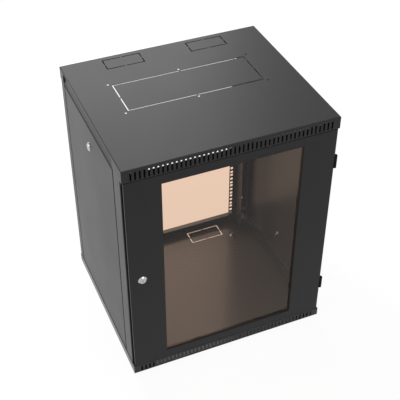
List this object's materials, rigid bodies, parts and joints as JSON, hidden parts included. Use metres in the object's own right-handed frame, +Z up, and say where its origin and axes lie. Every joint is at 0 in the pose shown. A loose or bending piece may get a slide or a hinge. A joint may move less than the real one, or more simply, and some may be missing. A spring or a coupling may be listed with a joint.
{
  "type": "wall mount network cabinet",
  "caption": "Wall rack cabinet of folded sheet steel with a glazed locking door, removable locking side panels, vented roof and floor edges and square-hole rack rails inside.",
  "frame": {"origin": "centre of the roof and floor footprint, on the floor tray's underside", "axes": "+X to the right seen from the door, +Y towards the wall, +Z up"},
  "size_m": [0.6073, 0.5235, 0.742],
  "materials": {
    "body_coat": "fine textured powder coat, dark grey",
    "door_coat": "fine textured powder coat, black",
    "rail_coat": "smooth powder coat, dark grey",
    "hinge_black": "black coated steel",
    "tinted_glass": "bronze tinted toughened glass",
    "zinc": "zinc plated",
    "chrome": "chrome plated",
    "rubber": "black rubber"
  },
  "bodies": {
    "cabinet": {"roof": "body_coat", "floor_tray": "body_coat", "front_post_left": "body_coat", "front_post_right": "body_coat", "rear_post_left": "body_coat", "rear_post_right": "body_coat", "side_catch_left": "body_coat", "side_catch_right": "body_coat", "rail_brackets": "body_coat", "rack_rail_front_left": "rail_coat", "rack_rail_front_right": "rail_coat", "rack_rail_rear_left": "rail_coat", "rack_rail_rear_right": "rail_coat", "rail_screws": "zinc", "hinge_body_leaves": "hinge_black", "hinge_pins": "hinge_black", "hinge_screws": "hinge_black", "floor_earth_stud": "zinc", "floor_earth_nut": "zinc"},
    "door": {"door_frame": "door_coat", "door_glass": "tinted_glass", "glass_seal": "rubber", "glass_clips": "door_coat", "clip_studs": "zinc", "clip_nuts": "zinc", "hinge_door_leaves": "hinge_black", "door_lock_housing": "chrome", "door_lock_nut": "zinc"},
    "door_lock": {"door_lock_plug": "chrome", "door_lock_cam": "zinc", "door_lock_screw": "zinc"},
    "left_panel": {"side_panel_left": "body_coat", "panel_lugs_left": "body_coat", "panel_earth_stud_left": "zinc", "panel_earth_nut_left": "zinc", "left_lock_housing": "chrome", "left_lock_nut": "zinc"},
    "left_lock": {"left_lock_plug": "chrome", "left_lock_cam": "zinc", "left_lock_screw": "zinc"},
    "right_panel": {"side_panel_right": "body_coat", "panel_lugs_right": "body_coat", "panel_earth_stud_right": "zinc", "panel_earth_nut_right": "zinc", "right_lock_housing": "chrome", "right_lock_nut": "zinc"},
    "right_lock": {"right_lock_plug": "chrome", "right_lock_cam": "zinc", "right_lock_screw": "zinc"}
  },
  "joints": [
    {"name": "door_swing", "type": "hinge", "parent": "cabinet", "child": "door", "pos_m": [0.3, -0.256, 0.367], "axis": [0, 0, 1], "range_deg": [0, 180]},
    {"name": "door_lock_turn", "type": "hinge", "parent": "door", "child": "door_lock", "pos_m": [-0.26, -0.26, 0.367], "axis": [0, 1, 0], "range_deg": [0, 90]},
    {"name": "left_panel_tilt", "type": "hinge", "parent": "cabinet", "child": "left_panel", "pos_m": [-0.2988, 0.019, 0.0304], "axis": [0, -1, 0], "range_deg": [0, 20]},
    {"name": "right_panel_tilt", "type": "hinge", "parent": "cabinet", "child": "right_panel", "pos_m": [0.2988, 0.019, 0.0304], "axis": [0, 1, 0], "range_deg": [0, 20]},
    {"name": "left_lock_turn", "type": "hinge", "parent": "left_panel", "child": "left_lock", "pos_m": [-0.2988, 0.02, 0.627], "axis": [1, 0, 0], "range_deg": [0, 90]},
    {"name": "right_lock_turn", "type": "hinge", "parent": "right_panel", "child": "right_lock", "pos_m": [0.2988, 0.02, 0.627], "axis": [1, 0, 0], "range_deg": [0, 90]}
  ]
}
